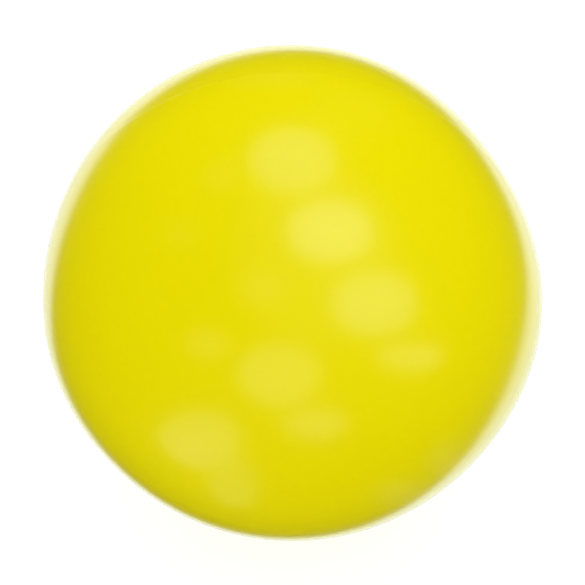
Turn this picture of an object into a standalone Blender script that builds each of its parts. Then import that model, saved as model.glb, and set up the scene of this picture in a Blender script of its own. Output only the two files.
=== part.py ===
"""Inflatable two-ply rubber playground ball, 8.5 inches across, with a self-sealing needle valve.

The ball's centre is the origin, and +Z is up. The valve looks along +Y. The mould's parting line, where the
two halves of the cover meet, is the great circle in the XZ plane. From outside in, the layers are the rubber
cover, a layer of wound nylon thread, and the butyl bladder. The valve is a flanged rubber housing, backed by
a dished patch, and a plug that pulls out of it along +Y.

Every piece is turned about the valve's axis. Its profile is drawn as (radius, height) points, where height is
the distance from the ball's centre towards the valve, and a Screw modifier turns it.
"""

from math import asin, cos, degrees, pi, radians, sin

import bpy

# The ball, in metres
BALL_DIAMETER = 0.2159
COVER_WALL = 0.0014
WINDING_WALL = 0.0005
BLADDER_WALL = 0.0009
CLEARANCE = 0.0003  # left between faces that touch on the real ball
RING_RADIUS = 0.0098  # of the low ring moulded on the cover, round the valve
RING_HEIGHT = 0.00022
RING_HALF_WIDTH = 0.0009
RING_CROWN = 0.4  # of its half width

# The valve, in metres
VALVE_HOLE_RADIUS = 0.0065
NOSE_RADIUS = VALVE_HOLE_RADIUS - CLEARANCE
NOSE_RECESS = 0.0004  # how far the housing's nose lies below the ball's surface
SEAT_RADIUS = 0.0050
SEAT_DEPTH = 0.0012
BORE_RADIUS = 0.0036
PATCH_WALL = 0.0008
FLANGE_WALL = 0.0012
STEM_LENGTH = 0.0100  # of the housing, below its flange
STEM_TIP_RADIUS = 0.0052
PLUG_HEAD_RADIUS = SEAT_RADIUS - CLEARANCE
PLUG_HEAD_THICKNESS = 0.0008
PLUG_SHAFT_RADIUS = 0.0029
PLUG_RIB_RADIUS = BORE_RADIUS - CLEARANCE
PLUG_RIBS = 3
RIB_MARGIN = 0.75  # pitches from each end of the shaft to the first rib's middle
PLUG_LENGTH = 0.0130  # under the head
PLUG_TIP_RADIUS = 0.0018
PLUG_TIP_SLOPE = 0.6  # how far the tip tapers, as a share of the drop in radius
NEEDLE_MOUTH_RADIUS = 0.0013
NEEDLE_GUIDE_RADIUS = 0.0006
NEEDLE_MOUTH_DEPTH = 0.0012
NEEDLE_GUIDE_DEPTH = 0.0075
EDGE_BEVEL = 0.0003

# How finely the pieces are turned. All shells use the same angles, so that the gaps between them stay even.
SEGMENTS = 36
COARSE_STEP = 10  # degrees of latitude
FINE_STEP = 2.5  # round the valve
FINE_ZONE = 10
SMALLEST_STEP = 0.01
PATCH_ANGLE = 10  # from the valve's axis to the patch's edge
FLANGE_ANGLE = 7.5

# Radii of the layers' faces, from the outside in
BALL_RADIUS = BALL_DIAMETER / 2
COVER_INSIDE = BALL_RADIUS - COVER_WALL
WINDING_OUTSIDE = COVER_INSIDE - CLEARANCE
WINDING_INSIDE = WINDING_OUTSIDE - WINDING_WALL
BLADDER_OUTSIDE = WINDING_INSIDE - CLEARANCE
BLADDER_INSIDE = BLADDER_OUTSIDE - BLADDER_WALL
PATCH_OUTSIDE = BLADDER_INSIDE - CLEARANCE
PATCH_INSIDE = PATCH_OUTSIDE - PATCH_WALL
FLANGE_OUTSIDE = PATCH_INSIDE - CLEARANCE
FLANGE_INSIDE = FLANGE_OUTSIDE - FLANGE_WALL

# Heights along the valve's axis
NOSE_TOP = BALL_RADIUS - NOSE_RECESS
SEAT_FLOOR = NOSE_TOP - SEAT_DEPTH
PLUG_HEAD_BOTTOM = SEAT_FLOOR + CLEARANCE
PLUG_HEAD_TOP = PLUG_HEAD_BOTTOM + PLUG_HEAD_THICKNESS

# Linear colours, and roughness
YELLOW_RUBBER = (0.86, 0.70, 0.004), 0.30
NATURAL_NYLON = (0.74, 0.72, 0.64), 0.75
BUTYL_RUBBER = (0.018, 0.017, 0.017), 0.60
PATCH_RUBBER = (0.060, 0.045, 0.038), 0.70
VALVE_RUBBER = (0.030, 0.030, 0.032), 0.50
PLUG_RUBBER = (0.055, 0.055, 0.058), 0.45


def clear_scene():
    for obj in list(bpy.data.objects):
        bpy.data.objects.remove(obj, do_unlink=True)


def new_collection(name):
    collection = bpy.data.collections.new(name)
    bpy.context.scene.collection.children.link(collection)
    return collection


def new_material(name, colour, roughness):
    material = bpy.data.materials.new(name)
    material.use_nodes = True
    shader = material.node_tree.nodes["Principled BSDF"]
    shader.inputs["Base Color"].default_value = (*colour, 1.0)
    shader.inputs["Roughness"].default_value = roughness
    shader.inputs["Metallic"].default_value = 0.0
    return material


def polar_angles(first, last):
    """Degrees from the valve's axis, from first to last, through every shared step between the two."""
    fine = [i * FINE_STEP for i in range(round(FINE_ZONE / FINE_STEP))]
    coarse = list(range(FINE_ZONE, 181, COARSE_STEP))
    low, high = min(first, last), max(first, last)
    between = [angle for angle in fine + coarse if low + SMALLEST_STEP < angle < high - SMALLEST_STEP]
    if last < first:
        between.reverse()
    return [first, *between, last]


def on_sphere(radius, angle):
    """A profile point on a sphere about the ball's centre, at an angle from the valve's axis."""
    return abs(radius * sin(radians(angle))), radius * cos(radians(angle))


def arc(radius, first, last):
    """Profile points on a sphere about the ball's centre, between two angles from the valve's axis."""
    return [on_sphere(radius, angle) for angle in polar_angles(first, last)]


def angle_at(sphere_radius, distance_from_axis):
    """Where a cylinder about the valve's axis meets a sphere, in degrees from the axis."""
    return degrees(asin(distance_from_axis / sphere_radius))


def angle_above_parting_plane(sphere_radius):
    """The angle at which a sphere stands half a clearance above the parting plane."""
    return 90 - degrees(asin(CLEARANCE / 2 / sphere_radius))


def turned(name, profile, closed, material, collection):
    """A piece turned about the valve's axis. An open profile begins and ends on the axis."""
    mesh = bpy.data.meshes.new(name)
    edges = [(i, i + 1) for i in range(len(profile) - 1)]
    if closed:
        edges.append((len(profile) - 1, 0))
    mesh.from_pydata([(radius, 0.0, height) for radius, height in profile], edges, [])
    piece = bpy.data.objects.new(name, mesh)
    collection.objects.link(piece)
    piece.rotation_euler = (-pi / 2, 0.0, 0.0)  # turns the profile's height onto +Y
    screw = piece.modifiers.new("Turn", "SCREW")
    screw.axis = "Z"
    screw.angle = 2 * pi
    screw.steps = SEGMENTS
    screw.render_steps = SEGMENTS
    screw.use_merge_vertices = True
    screw.merge_threshold = 0.00001
    screw.use_smooth_shade = True
    mesh.materials.append(material)
    return piece


def cover_front_profile():
    """Half shell below the parting plane, closed at its pole."""
    inner_rim = 180 - angle_above_parting_plane(COVER_INSIDE)
    outer_rim = 180 - angle_above_parting_plane(BALL_RADIUS)
    return arc(COVER_INSIDE, 180, inner_rim) + arc(BALL_RADIUS, outer_rim, 180)


def cover_back_profile():
    """Half shell above the parting plane, with the valve's hole at its pole and a low ring round the hole."""
    ring_middle = angle_at(BALL_RADIUS, RING_RADIUS)
    ring_half = degrees(RING_HALF_WIDTH / BALL_RADIUS)
    crown_half = ring_half * RING_CROWN
    lip = arc(BALL_RADIUS, angle_at(BALL_RADIUS, VALVE_HOLE_RADIUS), ring_middle - ring_half)
    crown = [
        on_sphere(BALL_RADIUS + RING_HEIGHT, ring_middle - crown_half),
        on_sphere(BALL_RADIUS + RING_HEIGHT, ring_middle + crown_half),
    ]
    half = arc(BALL_RADIUS, ring_middle + ring_half, angle_above_parting_plane(BALL_RADIUS))
    inner = arc(
        COVER_INSIDE,
        angle_above_parting_plane(COVER_INSIDE),
        angle_at(COVER_INSIDE, VALVE_HOLE_RADIUS),
    )
    return lip + crown + half + inner


def whole_shell_profile(outside, inside):
    """A whole shell with the valve's hole, closed at the far pole."""
    inner = arc(inside, 180, angle_at(inside, VALVE_HOLE_RADIUS))
    outer = arc(outside, angle_at(outside, VALVE_HOLE_RADIUS), 180)
    return inner + outer


def patch_profile():
    """Dished washer that lies under the bladder, round the valve."""
    outer = arc(PATCH_OUTSIDE, angle_at(PATCH_OUTSIDE, VALVE_HOLE_RADIUS), PATCH_ANGLE)
    inner = arc(PATCH_INSIDE, PATCH_ANGLE, angle_at(PATCH_INSIDE, VALVE_HOLE_RADIUS))
    return outer + inner


def housing_profile():
    """Flanged boot: nose through the layers, flange under the patch, and a stem that points inwards."""
    flange_meets_nose = angle_at(FLANGE_OUTSIDE, NOSE_RADIUS)
    flange_meets_stem = angle_at(FLANGE_INSIDE, NOSE_RADIUS)
    stem_bottom = FLANGE_INSIDE - STEM_LENGTH
    nose = [(NOSE_RADIUS - EDGE_BEVEL, NOSE_TOP), (NOSE_RADIUS, NOSE_TOP - EDGE_BEVEL)]
    flange = arc(FLANGE_OUTSIDE, flange_meets_nose, FLANGE_ANGLE)
    flange += arc(FLANGE_INSIDE, FLANGE_ANGLE, flange_meets_stem)
    stem = [
        (STEM_TIP_RADIUS, stem_bottom + EDGE_BEVEL),
        (STEM_TIP_RADIUS - EDGE_BEVEL, stem_bottom),
    ]
    bore = [(BORE_RADIUS, stem_bottom), (BORE_RADIUS, SEAT_FLOOR)]
    seat = [(SEAT_RADIUS, SEAT_FLOOR), (SEAT_RADIUS, NOSE_TOP)]
    return nose + flange + stem + bore + seat


def rib_points(top, bottom):
    """Rounded ribs round the plug's shaft, evenly spaced between two heights."""
    pitch = (top - bottom) / (PLUG_RIBS - 1 + 2 * RIB_MARGIN)
    rise = PLUG_RIB_RADIUS - PLUG_SHAFT_RADIUS
    points = []
    for i in range(PLUG_RIBS):
        middle = top - pitch * (i + RIB_MARGIN)
        points.append((PLUG_SHAFT_RADIUS, middle + 2 * rise))
        points.append((PLUG_RIB_RADIUS, middle + rise / 2))
        points.append((PLUG_RIB_RADIUS, middle - rise / 2))
        points.append((PLUG_SHAFT_RADIUS, middle - 2 * rise))
    return points


def plug_profile():
    """Flat head, ribbed shaft with a rounded tip, and the blind guide that the pump's needle enters."""
    tip = PLUG_HEAD_BOTTOM - PLUG_LENGTH
    shoulder = tip + PLUG_TIP_SLOPE * (PLUG_SHAFT_RADIUS - PLUG_TIP_RADIUS) + EDGE_BEVEL
    guide = [
        (0.0, PLUG_HEAD_TOP - NEEDLE_GUIDE_DEPTH),
        (NEEDLE_GUIDE_RADIUS, PLUG_HEAD_TOP - NEEDLE_GUIDE_DEPTH + NEEDLE_GUIDE_RADIUS),
        (NEEDLE_GUIDE_RADIUS, PLUG_HEAD_TOP - NEEDLE_MOUTH_DEPTH),
        (NEEDLE_MOUTH_RADIUS, PLUG_HEAD_TOP),
    ]
    head = [
        (PLUG_HEAD_RADIUS - EDGE_BEVEL, PLUG_HEAD_TOP),
        (PLUG_HEAD_RADIUS, PLUG_HEAD_TOP - EDGE_BEVEL),
        (PLUG_HEAD_RADIUS, PLUG_HEAD_BOTTOM),
        (PLUG_SHAFT_RADIUS, PLUG_HEAD_BOTTOM),
    ]
    shaft = rib_points(PLUG_HEAD_BOTTOM, shoulder)
    end = [(PLUG_SHAFT_RADIUS, shoulder), (PLUG_TIP_RADIUS, tip), (0.0, tip)]
    return guide + head + shaft + end


def build_ball():
    ball = new_collection("playground_rubber_ball")
    yellow = new_material("yellow_rubber", *YELLOW_RUBBER)
    nylon = new_material("natural_nylon", *NATURAL_NYLON)
    butyl = new_material("butyl_rubber", *BUTYL_RUBBER)
    patch = new_material("patch_rubber", *PATCH_RUBBER)
    valve = new_material("valve_rubber", *VALVE_RUBBER)
    plug = new_material("plug_rubber", *PLUG_RUBBER)
    winding_profile = whole_shell_profile(WINDING_OUTSIDE, WINDING_INSIDE)
    bladder_profile = whole_shell_profile(BLADDER_OUTSIDE, BLADDER_INSIDE)
    turned("cover_front", cover_front_profile(), False, yellow, ball)
    turned("cover_back", cover_back_profile(), True, yellow, ball)
    turned("nylon_winding", winding_profile, False, nylon, ball)
    turned("bladder", bladder_profile, False, butyl, ball)
    turned("valve_patch", patch_profile(), True, patch, ball)
    turned("valve_housing", housing_profile(), True, valve, ball)
    turned("valve_plug", plug_profile(), False, plug, ball)


clear_scene()
build_ball()
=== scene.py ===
"""Looks of the inflatable rubber playground ball: fine meshes, materials, a pale studio and the camera.

The ball's centre is the origin, +Z is up, and the valve looks along +Y, away from the camera. Every
piece is turned about the valve's axis from a profile of (radius, height) points, where height is the
distance from the ball's centre towards the valve. Lengths are in metres.
"""

from math import asin, atan, cos, degrees, exp, pi, radians, sin, sqrt, tan

import bpy
import numpy as np
from mathutils import Matrix, Vector


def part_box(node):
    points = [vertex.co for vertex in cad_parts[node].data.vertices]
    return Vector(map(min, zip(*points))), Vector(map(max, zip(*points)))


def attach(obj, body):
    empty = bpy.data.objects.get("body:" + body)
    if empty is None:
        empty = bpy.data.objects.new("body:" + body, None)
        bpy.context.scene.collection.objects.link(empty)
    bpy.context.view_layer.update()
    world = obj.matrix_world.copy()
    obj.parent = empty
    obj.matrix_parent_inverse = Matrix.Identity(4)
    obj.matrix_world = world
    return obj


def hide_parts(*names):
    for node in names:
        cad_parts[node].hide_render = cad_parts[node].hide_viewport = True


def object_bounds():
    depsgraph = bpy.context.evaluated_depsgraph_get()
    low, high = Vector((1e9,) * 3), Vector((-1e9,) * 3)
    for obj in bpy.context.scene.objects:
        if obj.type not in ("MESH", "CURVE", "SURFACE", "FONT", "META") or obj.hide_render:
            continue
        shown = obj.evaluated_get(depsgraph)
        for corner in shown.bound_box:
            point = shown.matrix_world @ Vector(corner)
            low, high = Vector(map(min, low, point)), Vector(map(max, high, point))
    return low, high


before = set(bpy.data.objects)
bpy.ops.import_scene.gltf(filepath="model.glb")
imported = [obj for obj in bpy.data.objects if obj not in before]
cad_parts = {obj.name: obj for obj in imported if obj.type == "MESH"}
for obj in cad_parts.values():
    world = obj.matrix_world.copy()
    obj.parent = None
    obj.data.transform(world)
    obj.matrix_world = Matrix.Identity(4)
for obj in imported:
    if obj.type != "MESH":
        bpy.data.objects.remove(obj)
cad_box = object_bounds()

# Sizes read from the frame
BALL_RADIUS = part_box("cover_front")[1].x
WINDING_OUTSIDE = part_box("nylon_winding")[1].x
BLADDER_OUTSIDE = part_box("bladder")[1].x
PATCH_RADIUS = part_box("valve_patch")[1].x
FLANGE_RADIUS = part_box("valve_housing")[1].x
NOSE_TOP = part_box("valve_housing")[1].y
STEM_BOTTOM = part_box("valve_housing")[0].y
PLUG_HEAD_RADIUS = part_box("valve_plug")[1].x
PLUG_HEAD_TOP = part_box("valve_plug")[1].y
PLUG_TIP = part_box("valve_plug")[0].y
FLOOR_HEIGHT = cad_box[0][2]

# Walls and clearances that the frame's boxes don't give
CLEARANCE = 0.0003
PARTING_GAP = 0.00001  # from the parting plane to the edge of each half of the cover
COVER_WALL = BALL_RADIUS - WINDING_OUTSIDE - CLEARANCE
WINDING_WALL = WINDING_OUTSIDE - BLADDER_OUTSIDE - CLEARANCE
BLADDER_WALL = 0.0009
PATCH_WALL = 0.0008
FLANGE_WALL = 0.0012
SEAT_RADIUS = PLUG_HEAD_RADIUS + CLEARANCE
SEAT_DEPTH = 0.0012
BORE_RADIUS = 0.0036
NOSE_RADIUS = 0.0062
NOSE_GAP = 0.00012
HOLE_RADIUS = NOSE_RADIUS + NOSE_GAP
HOLE_LIP = 0.0003  # how far the edge of the cover's hole is rounded off
STEM_TIP_RADIUS = 0.0052
BOOT_ROUNDING = 0.00025

# The plug
SHAFT_RADIUS = 0.0029
RIB_RADIUS = BORE_RADIUS - CLEARANCE
RIBS = 3
FIRST_RIB = 0.8  # of the ribs' pitch, below the head
RIB_HALF_LENGTH = 0.00088
TIP_RADIUS = 0.0018
TIP_TAPER = 0.0012
GUIDE_RADIUS = 0.0006
GUIDE_DEPTH = 0.0075
MOUTH_RADIUS = 0.0014
MOUTH_WAIST_RADIUS = 0.0009
MOUTH_DEPTH = 0.0012
HEAD_ROUNDING = 0.0002

# The mould's marks on the cover: the bead at the parting plane, and the ring round the valve
BEAD_HEIGHT = 0.00003
BEAD_HALF_WIDTH = 0.0009
RING_RADIUS = 0.0098
RING_HEIGHT = 0.00022
RING_HALF_WIDTH = 0.0009

# How finely the pieces are turned: points round the axis
COVER_SEGMENTS = 288
LAYER_SEGMENTS = 144
VALVE_SEGMENTS = 96
MERGE_DISTANCE = 0.000001  # between the points that meet on the axis

# Degrees between the points of a profile
COVER_STEP = 1.0
BEAD_STEP = 0.08
RING_STEP = 0.1
INNER_STEP = 3
LAYER_STEP = 2
PATCH_STEP = 1
FLANGE_STEP = 2

# Details of the profiles. Angles are in degrees.
PARTING_ANGLE = 90  # from the valve's axis
BEAD_ZONE = 1  # to each side of the parting plane, where the points are as close as the bead needs
RING_ZONE = 8  # from the valve's axis, where the points are as close as the ring needs
PATCH_TAPER = 0.4  # from the patch's outer edge to its inner one
RIB_STEPS = 4  # from a rib's middle to its end
LARGEST_ROUNDING = 0.45  # of the shorter edge at a corner

# The camera
VIEW_ELEVATION = 36
LENS = 85
SENSOR = 36
FRAME_SHARE = 0.848  # of the half frame, taken up by the ball's radius

# How far the inflated ball is from round: clock angle in the view, height, and spread in degrees
SWELLINGS = (
    (37, -0.0027, 20),
    (197, 0.0013, 16),
    (350, 0.0014, 17),
    (275, 0.0003, 25),
)
SWELLINGS_OFF_AXIS = 82  # degrees from the view axis
CALM_ROUND_VALVE = 22  # degrees from the valve's axis, within which the swellings fade out

# The glows of the studio's windows and lamps in the rubber: place to the right and up, half width and
# half height, as shares of the ball's radius in the picture, and the light's strength
WINDOW_GLOWS = (
    (0.00, 0.52, 0.170, 0.130, 1.16),
    (0.15, 0.24, 0.170, 0.120, 1.80),
    (0.32, -0.04, 0.170, 0.123, 1.32),
)
LAMP_GLOWS = (
    (-0.05, -0.32, 0.165, 0.123, 0.82),
    (-0.36, -0.58, 0.160, 0.113, 0.69),
    (-0.23, -0.75, 0.090, 0.100, 0.30),
    (0.46, -0.25, 0.130, 0.048, 0.98),
    (0.09, -0.51, 0.120, 0.056, 0.71),
    (-0.33, -0.20, 0.085, 0.056, 0.37),
    (-0.11, 0.02, 0.095, 0.066, 0.28),
    (-0.43, 0.23, 0.065, 0.050, 0.14),
    (-0.28, 0.45, 0.065, 0.060, 0.20),
    (0.23, 0.70, 0.170, 0.110, 0.05),
    (0.10, 0.15, 0.420, 0.460, 0.11),
    (-0.06, 0.84, 0.190, 0.025, 0.09),
    (0.42, -0.79, 0.100, 0.050, 0.11),
    (0.60, -0.66, 0.070, 0.070, 0.11),
)
LAMP_DISTANCE = 1.3
WINDOW_COLOUR = (0.52, 0.78, 1.0)
LAMP_COLOUR = (1.0, 1.0, 0.96)

# The white backdrop behind the ball, which the rubber mirrors all round its rim. Angles are in degrees.
BACKDROP_CLOCK = 31
BACKDROP_OFF_AXIS = 176
BACKDROP_HALF_WIDTH = 52
BACKDROP_HALF_HEIGHT = 34
BACKDROP_TILT = -20
BACKDROP_STRENGTH = 1.15
BACKDROP_COLOUR = (0.88, 0.95, 1.0)

# Soft lights that only the rubber's own colour shows: clock angle, angle off the view axis, how wide they
# spread, all in degrees, and strength. The two widest make an even tent of light all round.
SOFT_LIGHTS = (
    (0, 0, 180, 0.98),
    (0, 180, 180, 0.92),
    (70, 30, 60, 0.25),
    (0, 90, 60, 0.04),
    (90, 120, 60, 0.38),
    (240, 120, 60, 0.30),
)
WORLD_MIRRORED = 0.015  # how bright the world is to the pieces. It is 1 to the camera.

FLOOR_RADIUS = 12
FLOOR_SEGMENTS = 96
FLOOR_DARK = (0.20, 0.20, 0.20)
FLOOR_LIGHT = (0.22, 0.22, 0.22)
FLOOR_GLOW = 0.86

# Linear colours of the materials. Each rubber has its darkest and its lightest.
YELLOW = (0.712, 0.628, 0.0), (0.728, 0.640, 0.0)
BUTYL_BLACK = (0.014, 0.013, 0.013), (0.026, 0.024, 0.023)
PATCH_BROWN = (0.050, 0.036, 0.030), (0.075, 0.055, 0.046)
BOOT_BLACK = (0.026, 0.026, 0.028), (0.042, 0.042, 0.044)
PLUG_GREY = (0.045, 0.045, 0.048), (0.070, 0.070, 0.073)
BETWEEN_THREADS = (0.20, 0.16, 0.10)
NYLON_THREAD = (0.74, 0.72, 0.64)

# The range in which most of a noise texture's values lie
NOISE_LOW = 0.3
NOISE_HIGH = 0.7

# The winding's thread: how many directions it is wound in, how far the first is turned about each axis,
# and how much further each next one is, in radians
THREAD_DIRECTIONS = 4
FIRST_TURN = (0.4, 0.3, 0.0)
TURN_STEP = (0.9, 0.7, 1.1)


def view_axes():
    """Unit vectors towards the camera, to its right, and up in its picture."""
    rise = radians(VIEW_ELEVATION)
    to_camera = Vector((0.0, -cos(rise), sin(rise)))
    right = Vector((1.0, 0.0, 0.0))
    up = Vector((0.0, sin(rise), cos(rise)))
    return to_camera, right, up


def seen_direction(clock, off_axis):
    """The direction at an angle off the view axis.

    The clock angle runs anticlockwise from the picture's right.
    """
    to_camera, right, up = view_axes()
    across = right * cos(radians(clock)) + up * sin(radians(clock))
    return to_camera * cos(radians(off_axis)) + across * sin(radians(off_axis))


# Meshes


def angles(first, last, step):
    """Evenly spaced degrees from first to last, no further apart than step."""
    count = max(1, round(abs(last - first) / step))
    return [first + (last - first) * i / count for i in range(count + 1)]


def on_sphere(radius, angle):
    """A profile point on a sphere about the ball's centre, at an angle from the valve's axis."""
    return abs(radius * sin(radians(angle))), radius * cos(radians(angle))


def angle_at(sphere_radius, distance_from_axis):
    """Where a cylinder about the valve's axis meets a sphere, in degrees from the axis."""
    return degrees(asin(distance_from_axis / sphere_radius))


def link(obj):
    """Puts a new object in the scene."""
    bpy.context.scene.collection.objects.link(obj)
    return obj


def turned(name, profile, closed, segments):
    """A smooth mesh turned about the valve's axis. An open profile begins and ends on the axis."""
    outline = bpy.data.meshes.new(name + "_profile")
    edges = [(i, i + 1) for i in range(len(profile) - 1)]
    if closed:
        edges.append((len(profile) - 1, 0))
    outline.from_pydata([(radius, 0.0, height) for radius, height in profile], edges, [])
    drawn = link(bpy.data.objects.new(name + "_profile", outline))
    screw = drawn.modifiers.new("Turn", "SCREW")
    screw.steps = segments
    screw.render_steps = segments
    screw.use_merge_vertices = True
    screw.merge_threshold = MERGE_DISTANCE
    graph = bpy.context.evaluated_depsgraph_get()
    mesh = bpy.data.meshes.new_from_object(drawn.evaluated_get(graph))
    bpy.data.objects.remove(drawn)
    mesh.name = name
    mesh.transform(Matrix.Rotation(-pi / 2, 4, "X"))
    mesh.shade_smooth()
    return link(bpy.data.objects.new(name, mesh))


def swelling(directions):
    """How far the inflated ball stands out from round, in each direction. It is nothing at the valve."""
    out = np.zeros(len(directions))
    for clock, height, spread in SWELLINGS:
        centre = np.array(seen_direction(clock, SWELLINGS_OFF_AXIS))
        off = np.degrees(np.arccos(np.clip(directions @ centre, -1, 1)))
        out += height * np.exp(-0.5 * (off / spread) ** 2)
    from_valve = np.degrees(np.arccos(np.clip(directions[:, 1], -1, 1)))
    return out * (1 - np.exp(-((from_valve / CALM_ROUND_VALVE) ** 4)))


def inflate(obj):
    """Moves each point of a layer out or in, as the whole wall of the inflated ball swells."""
    count = len(obj.data.vertices)
    points = np.empty(count * 3)
    obj.data.vertices.foreach_get("co", points)
    points = points.reshape(-1, 3)
    directions = points / np.linalg.norm(points, axis=1)[:, None]
    points += directions * swelling(directions)[:, None]
    obj.data.vertices.foreach_set("co", points.ravel())
    obj.data.update()


def cover_outside(angle):
    """The cover's outer radius, with the bead at the parting plane and the ring round the valve."""
    from_bead = BALL_RADIUS * radians(angle - PARTING_ANGLE) / BEAD_HALF_WIDTH
    from_ring = (BALL_RADIUS * radians(angle) - RING_RADIUS) / RING_HALF_WIDTH
    return BALL_RADIUS + BEAD_HEIGHT * exp(-from_bead**2) + RING_HEIGHT * exp(-from_ring**2)


def make_cover_front():
    """The half away from the valve, with its half of the bead."""
    inside = BALL_RADIUS - COVER_WALL
    rim = PARTING_ANGLE + degrees(PARTING_GAP / BALL_RADIUS)
    inner = [on_sphere(inside, a) for a in angles(180, rim, INNER_STEP)]
    fine = angles(rim, PARTING_ANGLE + BEAD_ZONE, BEAD_STEP)
    coarse = angles(PARTING_ANGLE + BEAD_ZONE, 180, COVER_STEP)[1:]
    outer = [on_sphere(cover_outside(a), a) for a in fine + coarse]
    cover = turned("front_cover_skin", inner + outer, False, COVER_SEGMENTS)
    inflate(cover)
    return cover


def make_cover_back():
    """The half round the valve, with its hole's rounded lip, the ring and its half of the bead."""
    inside = BALL_RADIUS - COVER_WALL
    rim = PARTING_ANGLE - degrees(PARTING_GAP / BALL_RADIUS)
    hole = angle_at(BALL_RADIUS, HOLE_RADIUS)
    lip = degrees(HOLE_LIP / BALL_RADIUS)
    edge = [
        on_sphere(BALL_RADIUS - HOLE_LIP, hole),
        on_sphere(BALL_RADIUS - HOLE_LIP / 3, hole + lip / 3),
    ]
    ring = angles(hole + lip, RING_ZONE, RING_STEP)
    coarse = angles(RING_ZONE, PARTING_ANGLE - BEAD_ZONE, COVER_STEP)[1:]
    fine = angles(PARTING_ANGLE - BEAD_ZONE, rim, BEAD_STEP)[1:]
    outer = [on_sphere(cover_outside(a), a) for a in ring + coarse + fine]
    inner = [on_sphere(inside, a) for a in angles(rim, angle_at(inside, HOLE_RADIUS), INNER_STEP)]
    cover = turned("back_cover_skin", edge + outer + inner, True, COVER_SEGMENTS)
    inflate(cover)
    return cover


def make_shell(name, outside, wall):
    """A whole inner layer, closed at the far pole and open at the valve."""
    inside = outside - wall
    inner = [on_sphere(inside, a) for a in angles(180, angle_at(inside, HOLE_RADIUS), INNER_STEP)]
    outer = [on_sphere(outside, a) for a in angles(angle_at(outside, HOLE_RADIUS), 180, LAYER_STEP)]
    shell = turned(name, inner + outer, False, LAYER_SEGMENTS)
    inflate(shell)
    return shell


def make_patch():
    """A dished washer under the bladder, with a soft outer edge."""
    outside = BLADDER_OUTSIDE - BLADDER_WALL - CLEARANCE
    edge = angle_at(outside, PATCH_RADIUS)
    outer = [on_sphere(outside, a) for a in angles(angle_at(outside, HOLE_RADIUS), edge, PATCH_STEP)]
    inside = outside - PATCH_WALL
    inner_angles = angles(edge - PATCH_TAPER, angle_at(inside, HOLE_RADIUS), PATCH_STEP)
    inner = [on_sphere(inside, a) for a in inner_angles]
    middle = [on_sphere(outside - PATCH_WALL / 2, edge - PATCH_TAPER / 4)]
    return turned("patch_washer", outer + middle + inner, True, VALVE_SEGMENTS)


def rounded(corner, before, after, size):
    """Three points in place of a profile's corner, to soften it. before and after are its neighbours."""
    corner, before, after = Vector(corner), Vector(before), Vector(after)
    start = corner + (before - corner).normalized() * size
    end = corner + (after - corner).normalized() * size
    middle = (start + end + corner * 2) / 4
    return [tuple(start), tuple(middle), tuple(end)]


def rounded_profile(points, size, closed):
    """A profile with its corners rounded. On an open profile, the two ends stay."""
    count = len(points)
    result = []
    for i, point in enumerate(points):
        if not closed and i in (0, count - 1):
            result.append(point)
            continue
        before, after = points[i - 1], points[(i + 1) % count]
        reach = min((Vector(point) - Vector(p)).length for p in (before, after))
        result += rounded(point, before, after, min(size, reach * LARGEST_ROUNDING))
    return result


def make_housing():
    """The valve's boot: nose, flange under the patch, stem, bore and the seat of the plug's head."""
    flange_outside = BLADDER_OUTSIDE - BLADDER_WALL - 2 * CLEARANCE - PATCH_WALL
    flange_inside = flange_outside - FLANGE_WALL
    edge = angle_at(flange_outside, FLANGE_RADIUS)
    seat_floor = NOSE_TOP - SEAT_DEPTH
    upper_angles = angles(angle_at(flange_outside, NOSE_RADIUS), edge, FLANGE_STEP)
    lower_angles = angles(edge, angle_at(flange_inside, NOSE_RADIUS), FLANGE_STEP)
    upper = [on_sphere(flange_outside, a) for a in upper_angles]
    lower = [on_sphere(flange_inside, a) for a in lower_angles]
    tip = [(STEM_TIP_RADIUS, STEM_BOTTOM), (BORE_RADIUS, STEM_BOTTOM)]
    seat = [(BORE_RADIUS, seat_floor), (SEAT_RADIUS, seat_floor), (SEAT_RADIUS, NOSE_TOP)]
    profile = [(NOSE_RADIUS, NOSE_TOP)] + upper + lower + tip + seat
    return turned("valve_boot", rounded_profile(profile, BOOT_ROUNDING, True), True, VALVE_SEGMENTS)


def rib_points(middle):
    """A rounded rib on the plug's shaft, from above its middle to below."""
    points = []
    for i in range(-RIB_STEPS, RIB_STEPS + 1):
        share = i / RIB_STEPS
        rise = (RIB_RADIUS - SHAFT_RADIUS) * cos(share * pi / 2) ** 2
        points.append((SHAFT_RADIUS + rise, middle - share * RIB_HALF_LENGTH))
    return points


def make_plug():
    """Head with a soft edge and a flared needle mouth, and a shaft with rounded ribs."""
    head_bottom = NOSE_TOP - SEAT_DEPTH + CLEARANCE
    guide = [
        (0.0, PLUG_HEAD_TOP - GUIDE_DEPTH),
        (GUIDE_RADIUS, PLUG_HEAD_TOP - GUIDE_DEPTH + GUIDE_RADIUS),
        (GUIDE_RADIUS, PLUG_HEAD_TOP - MOUTH_DEPTH),
        (MOUTH_WAIST_RADIUS, PLUG_HEAD_TOP - MOUTH_DEPTH / 2),
        (MOUTH_RADIUS, PLUG_HEAD_TOP),
    ]
    head = [
        (PLUG_HEAD_RADIUS, PLUG_HEAD_TOP),
        (PLUG_HEAD_RADIUS, head_bottom),
        (SHAFT_RADIUS, head_bottom),
    ]
    pitch = (head_bottom - PLUG_TIP) / (RIBS + 1)
    ribbing = []
    for i in range(RIBS):
        ribbing += rib_points(head_bottom - pitch * (i + FIRST_RIB))
    end = [(SHAFT_RADIUS, PLUG_TIP + TIP_TAPER), (TIP_RADIUS, PLUG_TIP), (0.0, PLUG_TIP)]
    top = rounded_profile(guide + head, HEAD_ROUNDING, False)
    return turned("needle_plug", top + ribbing + end, False, VALVE_SEGMENTS)


# Materials


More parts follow.
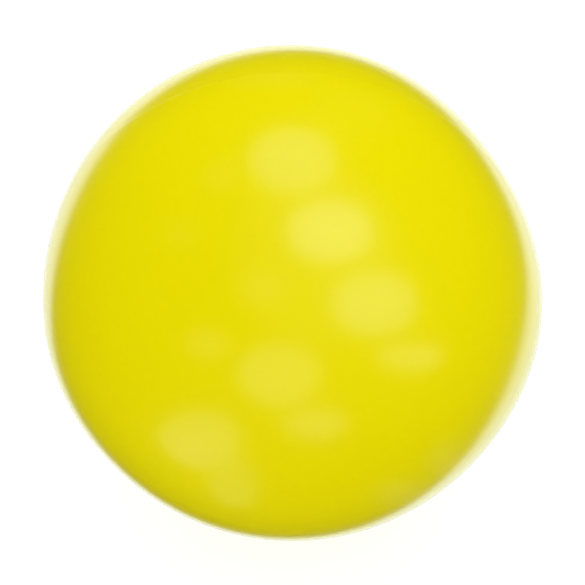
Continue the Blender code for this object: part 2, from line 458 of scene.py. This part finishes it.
class Nodes:
    """A short way to add and join shader nodes."""

    def __init__(self, tree):
        self.tree = tree

    def add(self, kind, **settings):
        node = self.tree.nodes.new(kind)
        for key, value in settings.items():
            setattr(node, key, value)
        return node

    def join(self, source, target):
        self.tree.links.new(source, target)

    def noise(self, scale, detail=3.0, roughness=0.5):
        """Noise over the object's own metres, so scale is in cycles a metre."""
        place = self.add("ShaderNodeTexCoord")
        noise = self.add("ShaderNodeTexNoise")
        noise.inputs["Scale"].default_value = scale
        noise.inputs["Detail"].default_value = detail
        noise.inputs["Roughness"].default_value = roughness
        self.join(place.outputs["Object"], noise.inputs["Vector"])
        return noise.outputs["Fac"]

    def ramp(self, factor, stops):
        """A colour ramp: stops are (place, colour)."""
        ramp = self.add("ShaderNodeValToRGB")
        elements = ramp.color_ramp.elements
        while len(elements) < len(stops):
            elements.new(0.5)
        for element, (place, colour) in zip(elements, stops):
            element.position = place
            element.color = (*colour, 1.0)
        self.join(factor, ramp.inputs["Fac"])
        return ramp.outputs["Color"]

    def mottled(self, noise, dark, light):
        """A colour that a noise varies from dark to light."""
        return self.ramp(noise, ((NOISE_LOW, dark), (NOISE_HIGH, light)))

    def spread(self, noise, low, high):
        """A number that a noise varies from low to high."""
        span = self.add("ShaderNodeMapRange")
        span.inputs["From Min"].default_value = NOISE_LOW
        span.inputs["From Max"].default_value = NOISE_HIGH
        span.inputs["To Min"].default_value = low
        span.inputs["To Max"].default_value = high
        self.join(noise, span.inputs["Value"])
        return span.outputs["Result"]

    def bump(self, height, strength, distance, under=None):
        """A bumped normal. under is the normal of another bump, to build on."""
        bump = self.add("ShaderNodeBump")
        bump.inputs["Strength"].default_value = strength
        bump.inputs["Distance"].default_value = distance
        self.join(height, bump.inputs["Height"])
        if under is not None:
            self.join(under, bump.inputs["Normal"])
        return bump.outputs["Normal"]


def new_material(name):
    """A new material, its nodes, and its Principled BSDF."""
    material = bpy.data.materials.new(name)
    material.use_nodes = True
    shader = material.node_tree.nodes["Principled BSDF"]
    return material, Nodes(material.node_tree), shader


def yellow_rubber():
    """Satin-smooth pigmented rubber, with faint clouding, handling marks and a fine moulded grain."""
    material, nodes, shader = new_material("yellow_cover_rubber")
    clouds = nodes.noise(scale=14, detail=2.0)
    nodes.join(nodes.mottled(clouds, *YELLOW), shader.inputs["Base Color"])
    marks = nodes.noise(scale=60, detail=4.0, roughness=0.6)
    nodes.join(nodes.spread(marks, low=0.20, high=0.23), shader.inputs["Roughness"])
    grain = nodes.bump(nodes.noise(scale=2600, detail=2.0), strength=0.015, distance=0.0001)
    waves = nodes.bump(nodes.noise(scale=45, detail=1.0), strength=0.03, distance=0.0015, under=grain)
    nodes.join(waves, shader.inputs["Normal"])
    shader.inputs["Specular IOR Level"].default_value = 0.5
    shader.inputs["Coat Weight"].default_value = 0.5
    shader.inputs["Coat Roughness"].default_value = 0.22
    return material


def dark_rubber(name, colours, smoothest, roughest):
    """Black, grey or brown rubber for the valve and the bladder, slightly mottled and matt."""
    material, nodes, shader = new_material(name)
    mottling = nodes.noise(scale=220)
    wear = nodes.noise(scale=500)
    grain = nodes.noise(scale=3000, detail=2.0)
    nodes.join(nodes.mottled(mottling, *colours), shader.inputs["Base Color"])
    nodes.join(nodes.spread(wear, smoothest, roughest), shader.inputs["Roughness"])
    nodes.join(nodes.bump(grain, strength=0.15, distance=0.0001), shader.inputs["Normal"])
    return material


def wound_thread():
    """Nylon thread wound over the bladder in many directions and set in thin rubber."""
    material, nodes, shader = new_material("wound_nylon_thread")
    place = nodes.add("ShaderNodeTexCoord")
    height = None
    for i in range(THREAD_DIRECTIONS):
        tilt = nodes.add("ShaderNodeMapping")
        turns = [first + i * step for first, step in zip(FIRST_TURN, TURN_STEP)]
        tilt.inputs["Rotation"].default_value = turns
        nodes.join(place.outputs["Object"], tilt.inputs["Vector"])
        wave = nodes.add("ShaderNodeTexWave", wave_type="BANDS", bands_direction="X")
        wave.inputs["Scale"].default_value = 180
        wave.inputs["Distortion"].default_value = 1.5
        nodes.join(tilt.outputs["Vector"], wave.inputs["Vector"])
        if height is None:
            height = wave.outputs["Fac"]
            continue
        highest = nodes.add("ShaderNodeMath", operation="MAXIMUM")
        nodes.join(height, highest.inputs[0])
        nodes.join(wave.outputs["Fac"], highest.inputs[1])
        height = highest.outputs["Value"]
    colour = nodes.ramp(height, ((0.35, BETWEEN_THREADS), (0.85, NYLON_THREAD)))
    nodes.join(colour, shader.inputs["Base Color"])
    nodes.join(nodes.bump(height, strength=0.6, distance=0.0003), shader.inputs["Normal"])
    shader.inputs["Roughness"].default_value = 0.6
    return material


# The studio


def make_floor():
    """A wide pale floor that the ball stands on. It glows, takes no shadow and isn't mirrored."""
    material, nodes, shader = new_material("pale_floor")
    clouds = nodes.noise(scale=3, detail=2.0)
    nodes.join(nodes.mottled(clouds, FLOOR_DARK, FLOOR_LIGHT), shader.inputs["Base Color"])
    shader.inputs["Emission Color"].default_value = (1.0, 1.0, 1.0, 1.0)
    shader.inputs["Emission Strength"].default_value = FLOOR_GLOW
    shader.inputs["Roughness"].default_value = 1.0
    shader.inputs["Specular IOR Level"].default_value = 0.0
    bpy.ops.mesh.primitive_circle_add(vertices=FLOOR_SEGMENTS, radius=FLOOR_RADIUS, fill_type="NGON")
    floor = bpy.context.object
    floor.name = "floor"
    floor.location.z = FLOOR_HEIGHT
    floor.data.materials.append(material)
    floor.visible_shadow = False
    floor.visible_glossy = False
    floor.visible_diffuse = False


def make_world():
    """White to the camera, and dark in the rubber, which mirrors only the lamps and the backdrop."""
    world = bpy.data.worlds.new("studio")
    bpy.context.scene.world = world
    world.cycles.sampling_method = "NONE"
    world.use_nodes = True
    nodes = Nodes(world.node_tree)
    path = nodes.add("ShaderNodeLightPath")
    strength = nodes.add("ShaderNodeMapRange")
    strength.inputs["To Min"].default_value = WORLD_MIRRORED
    nodes.join(path.outputs["Is Camera Ray"], strength.inputs["Value"])
    sky = world.node_tree.nodes["Background"]
    sky.inputs["Color"].default_value = (1.0, 1.0, 1.0, 1.0)
    nodes.join(strength.outputs["Result"], sky.inputs["Strength"])


def seen_ray(right_share, up_share):
    """The camera's place, and its ray through a point of the picture, in shares of the ball's radius."""
    to_camera, right, up = view_axes()
    eye = to_camera * BALL_RADIUS / sin(half_view())
    across = right * right_share + up * up_share
    return eye, (across * tan(half_view()) - to_camera).normalized()


def mirrored(right_share, up_share):
    """The direction that the ball mirrors towards the camera, at a point of the picture."""
    eye, ray = seen_ray(right_share, up_share)
    middle = -eye.dot(ray)
    reach = middle - sqrt(middle**2 - eye.length_squared + BALL_RADIUS**2)
    outwards = (eye + ray * reach).normalized()
    return ray - outwards * 2 * ray.dot(outwards)


def new_lamp(name, direction, width_axis, half_width, half_height, radiance, colour):
    """A lamp that faces the ball and shows only in its gloss, as an ellipse.

    half_width and half_height are tangents of angles, as seen from the ball.
    """
    light = bpy.data.lights.new(name, "AREA")
    light.shape = "ELLIPSE"
    light.size = 2 * LAMP_DISTANCE * half_width
    light.size_y = 2 * LAMP_DISTANCE * half_height
    area = pi * light.size * light.size_y / 4
    light.energy = radiance * pi * area
    light.color = colour
    lamp = link(bpy.data.objects.new(name, light))
    back = Vector(direction).normalized()
    side = (width_axis - back * width_axis.dot(back)).normalized()
    axes = Matrix((side, back.cross(side), back)).transposed().to_4x4()
    lamp.matrix_world = Matrix.Translation(back * LAMP_DISTANCE) @ axes
    lamp.visible_camera = False
    lamp.visible_diffuse = False


def make_soft_light(number, clock, off_axis, spread, strength):
    """A light that the rubber doesn't mirror. At strength 1, a white face turned to it looks white."""
    light = bpy.data.lights.new(f"soft_light_{number}", "SUN")
    light.energy = pi * strength
    light.angle = radians(spread)
    light.cycles.use_multiple_importance_sampling = False
    lamp = link(bpy.data.objects.new(light.name, light))
    lamp.rotation_euler = seen_direction(clock, off_axis).to_track_quat("Z", "Y").to_euler()
    lamp.visible_glossy = False
    lamp.visible_camera = False


def make_mirrored_lamp(name, colour, right_share, up_share, half_width, half_height, strength):
    """A lamp placed and shaped so that the ball mirrors it as a glow of the given place and size."""
    direction = mirrored(right_share, up_share)
    level = mirrored(right_share + half_width, up_share) - mirrored(right_share - half_width, up_share)
    upright = mirrored(right_share, up_share + half_height) - mirrored(right_share, up_share - half_height)
    axes, sizes, _ = np.linalg.svd(np.array([level, upright]).T / 2)
    new_lamp(name, direction, Vector(axes[:, 0]), sizes[0], sizes[1], strength, colour)


def make_backdrop():
    """The white backdrop, as the rubber's rim mirrors it."""
    right, up = view_axes()[1:]
    tilt = radians(BACKDROP_TILT)
    new_lamp(
        "backdrop",
        seen_direction(BACKDROP_CLOCK, BACKDROP_OFF_AXIS),
        right * cos(tilt) + up * sin(tilt),
        tan(radians(BACKDROP_HALF_WIDTH)),
        tan(radians(BACKDROP_HALF_HEIGHT)),
        BACKDROP_STRENGTH,
        BACKDROP_COLOUR,
    )


def half_view():
    """Half the angle that the ball takes up in the view."""
    return atan(FRAME_SHARE * SENSOR / 2 / LENS)


def make_camera():
    """It looks at the ball's centre, from so far off that the ball takes up its share of the frame."""
    to_camera, right, up = view_axes()
    distance = BALL_RADIUS / sin(half_view())
    camera = bpy.data.cameras.new("camera")
    camera.lens = LENS
    camera.sensor_width = SENSOR
    body = link(bpy.data.objects.new("camera", camera))
    axes = Matrix((right, up, to_camera)).transposed().to_4x4()
    body.matrix_world = Matrix.Translation(to_camera * distance) @ axes
    bpy.context.scene.camera = body


def dress(obj, material, body, slot, *nodes):
    """Gives a piece its material and its body, and hides the CAD nodes that it stands for. slot is not
    used.
    """
    obj.data.materials.clear()
    obj.data.materials.append(material)
    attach(obj, body)
    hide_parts(*nodes)


def main():
    make_camera()
    cover = yellow_rubber()
    bladder_rubber = dark_rubber("butyl_bladder_rubber", BUTYL_BLACK, smoothest=0.5, roughest=0.65)
    patch_rubber = dark_rubber("patch_rubber", PATCH_BROWN, smoothest=0.65, roughest=0.8)
    boot_rubber = dark_rubber("valve_boot_rubber", BOOT_BLACK, smoothest=0.42, roughest=0.55)
    plug_rubber = dark_rubber("needle_plug_rubber", PLUG_GREY, smoothest=0.38, roughest=0.5)
    winding = make_shell("winding_layer", WINDING_OUTSIDE, WINDING_WALL)
    bladder = make_shell("bladder_wall", BLADDER_OUTSIDE, BLADDER_WALL)
    dress(make_cover_front(), cover, "ball", "cover", "cover_front")
    dress(make_cover_back(), cover, "ball", "cover", "cover_back")
    dress(winding, wound_thread(), "ball", "winding", "nylon_winding")
    dress(bladder, bladder_rubber, "ball", "bladder", "bladder")
    dress(make_patch(), patch_rubber, "ball", "patch", "valve_patch")
    dress(make_housing(), boot_rubber, "ball", "valve", "valve_housing")
    dress(make_plug(), plug_rubber, "plug", "plug", "valve_plug")
    make_floor()
    make_world()
    make_backdrop()
    for number, soft_light in enumerate(SOFT_LIGHTS):
        make_soft_light(number, *soft_light)
    for number, glow in enumerate(WINDOW_GLOWS):
        make_mirrored_lamp(f"window_{number}", WINDOW_COLOUR, *glow)
    for number, glow in enumerate(LAMP_GLOWS):
        make_mirrored_lamp(f"lamp_{number}", LAMP_COLOUR, *glow)
    bpy.context.scene.view_settings.view_transform = "Standard"


main()
